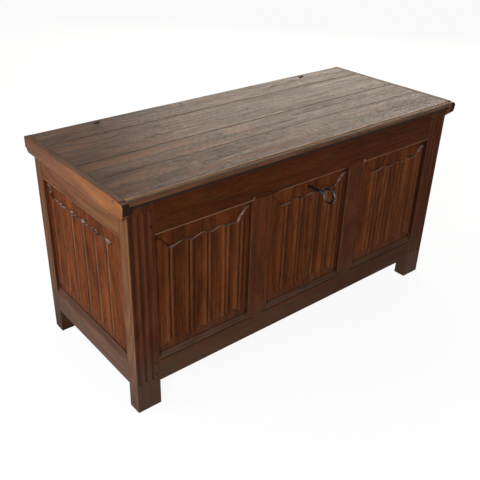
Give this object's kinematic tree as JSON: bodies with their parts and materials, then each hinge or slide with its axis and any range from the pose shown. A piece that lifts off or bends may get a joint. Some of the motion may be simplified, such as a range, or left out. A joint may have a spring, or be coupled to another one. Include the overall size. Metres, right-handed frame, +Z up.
{
  "type": "coffer chest",
  "caption": "Joined oak coffer chest with linenfold panels, fluted corner posts, a hinged plank lid with moulded ends, and an inside lock with its key.",
  "frame": {"origin": "on the floor under the middle of the bounding box, which takes in the key in front and the lid eyes behind", "axes": "+X along the front to the right end, +Y from the front to the back, +Z up"},
  "size_m": [1.3436, 0.6438, 0.6978],
  "materials": {
    "frame_oak": "old waxed oak, dark reddish brown",
    "panel_oak": "old waxed oak, orange brown",
    "lid_oak": "worn oak with a dull wax sheen",
    "plain_oak": "dry unpolished oak",
    "iron": "forged iron, dark and rubbed"
  },
  "bodies": {
    "carcass": {"post_front_left": "frame_oak", "post_front_right": "frame_oak", "post_back_left": "frame_oak", "post_back_right": "frame_oak", "rail_front_top": "frame_oak", "rail_front_bottom": "frame_oak", "rail_back_top": "frame_oak", "rail_back_bottom": "frame_oak", "rail_left_top": "frame_oak", "rail_left_bottom": "frame_oak", "rail_right_top": "frame_oak", "rail_right_bottom": "frame_oak", "muntin_front_left": "frame_oak", "muntin_front_right": "frame_oak", "muntin_back_left": "frame_oak", "muntin_back_right": "frame_oak", "panel_front_left": "panel_oak", "panel_front_middle": "panel_oak", "panel_front_right": "panel_oak", "panel_left": "panel_oak", "panel_right": "panel_oak", "panel_back_left": "plain_oak", "panel_back_middle": "plain_oak", "panel_back_right": "plain_oak", "floor_board_1": "plain_oak", "floor_board_2": "plain_oak", "floor_board_3": "plain_oak", "floor_board_4": "plain_oak", "peg_left_bottom_1": "frame_oak", "peg_left_bottom_2": "frame_oak", "peg_left_top_1": "frame_oak", "peg_left_top_2": "frame_oak", "peg_right_bottom_1": "frame_oak", "peg_right_bottom_2": "frame_oak", "peg_right_top_1": "frame_oak", "peg_right_top_2": "frame_oak", "rail_eye_left": "iron", "rail_eye_right": "iron", "lock_case": "iron", "lock_cover": "iron"},
    "lid": {"lid_plank_1": "lid_oak", "lid_plank_2": "lid_oak", "lid_plank_3": "lid_oak", "lid_plank_4": "lid_oak", "lid_end_left": "lid_oak", "lid_end_right": "lid_oak", "lid_nail_left_1": "iron", "lid_nail_left_2": "iron", "lid_nail_left_3": "iron", "lid_nail_left_4": "iron", "lid_nail_right_1": "iron", "lid_nail_right_2": "iron", "lid_nail_right_3": "iron", "lid_nail_right_4": "iron", "lid_eye_left": "iron", "lid_eye_right": "iron", "lid_catch": "iron"},
    "bolt": {"lock_bolt": "iron"},
    "curtain": {"lock_curtain": "iron"},
    "key": {"key": "iron"}
  },
  "joints": [
    {"name": "lid_open", "type": "hinge", "parent": "carcass", "child": "lid", "pos_m": [0, 0.31367, 0.6588], "axis": [-1, 0, 0], "range_deg": [0, 105]},
    {"name": "key_turn", "type": "hinge", "parent": "carcass", "child": "curtain", "pos_m": [0, -0.19232, 0.545], "axis": [0, -1, 0], "range_deg": [0, 60]},
    {"name": "key_withdraw", "type": "slide", "parent": "curtain", "child": "key", "axis": [0, -1, 0], "range_m": [0, 0.06]},
    {"name": "bolt_throw", "type": "slide", "parent": "carcass", "child": "bolt", "axis": [1, 0, 0], "range_m": [0, 0.0113]}
  ],
  "couplings": [
    {"joint": "bolt_throw", "follows": "key_turn", "m_per_rad": 0.01079}
  ]
}
